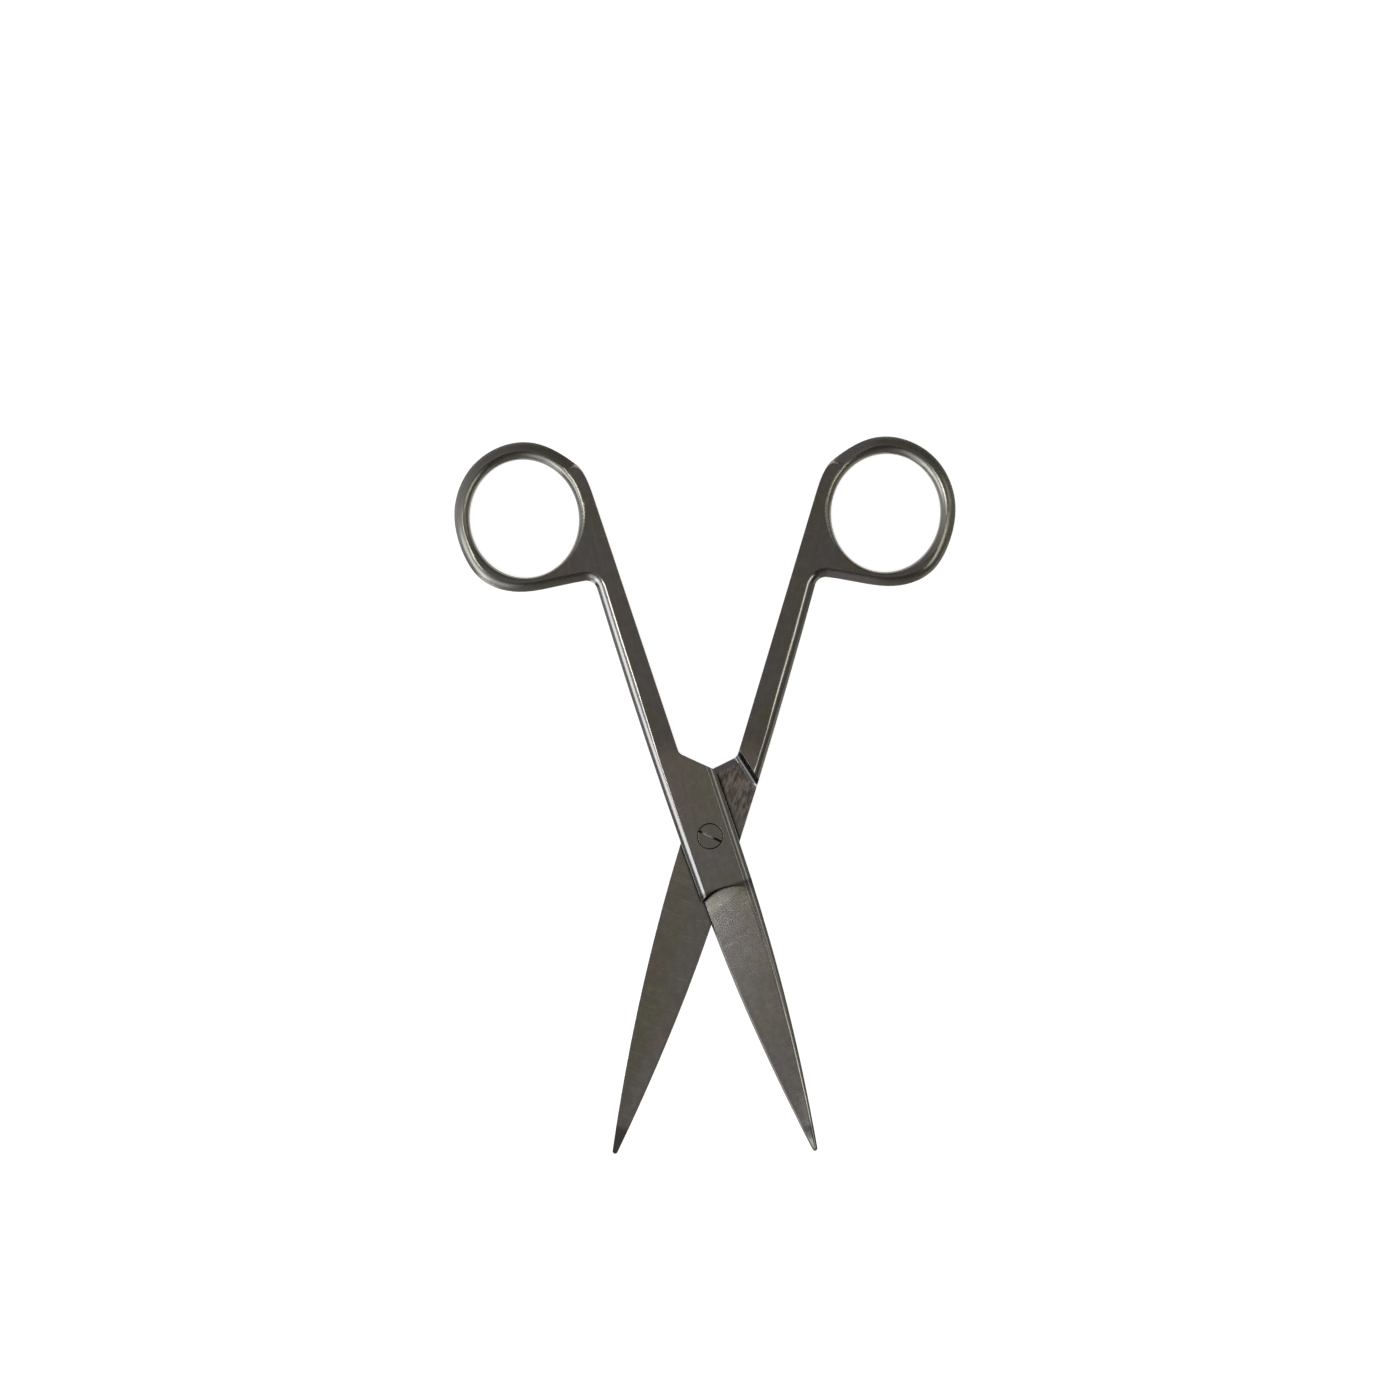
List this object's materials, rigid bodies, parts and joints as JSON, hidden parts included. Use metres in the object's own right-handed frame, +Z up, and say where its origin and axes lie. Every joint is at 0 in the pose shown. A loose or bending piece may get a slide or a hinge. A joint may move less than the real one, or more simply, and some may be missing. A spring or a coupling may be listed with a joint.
{
  "type": "operating scissors",
  "caption": "Straight operating scissors: steel halves with finger rings and sharp hollow-ground blades, lapped at a slotted screw joint, standing open.",
  "frame": {"origin": "on the joint screw's axis, in the plane of the lower half's outer face, which the scissors lie on", "axes": "+Y towards the finger rings, half way between the two halves; +Z up along the joint screw's axis, towards its slotted head; +X to the right, on the side of the lower half's ring and the upper half's tip"},
  "size_m": [0.0954, 0.1358, 0.0046],
  "materials": {
    "forged_steel": "ground and satin-polished stainless steel",
    "screw_steel": "turned stainless steel, ground flush with the joint plate"
  },
  "bodies": {
    "lower": {"lower_half": "forged_steel", "joint_screw": "screw_steel"},
    "upper": {"upper_half": "forged_steel"}
  },
  "joints": [
    {"name": "joint_pivot", "type": "hinge", "parent": "lower", "child": "upper", "pos_m": [0, 0, 0], "axis": [0, 0, 1], "range_deg": [-35.5, 93]}
  ]
}
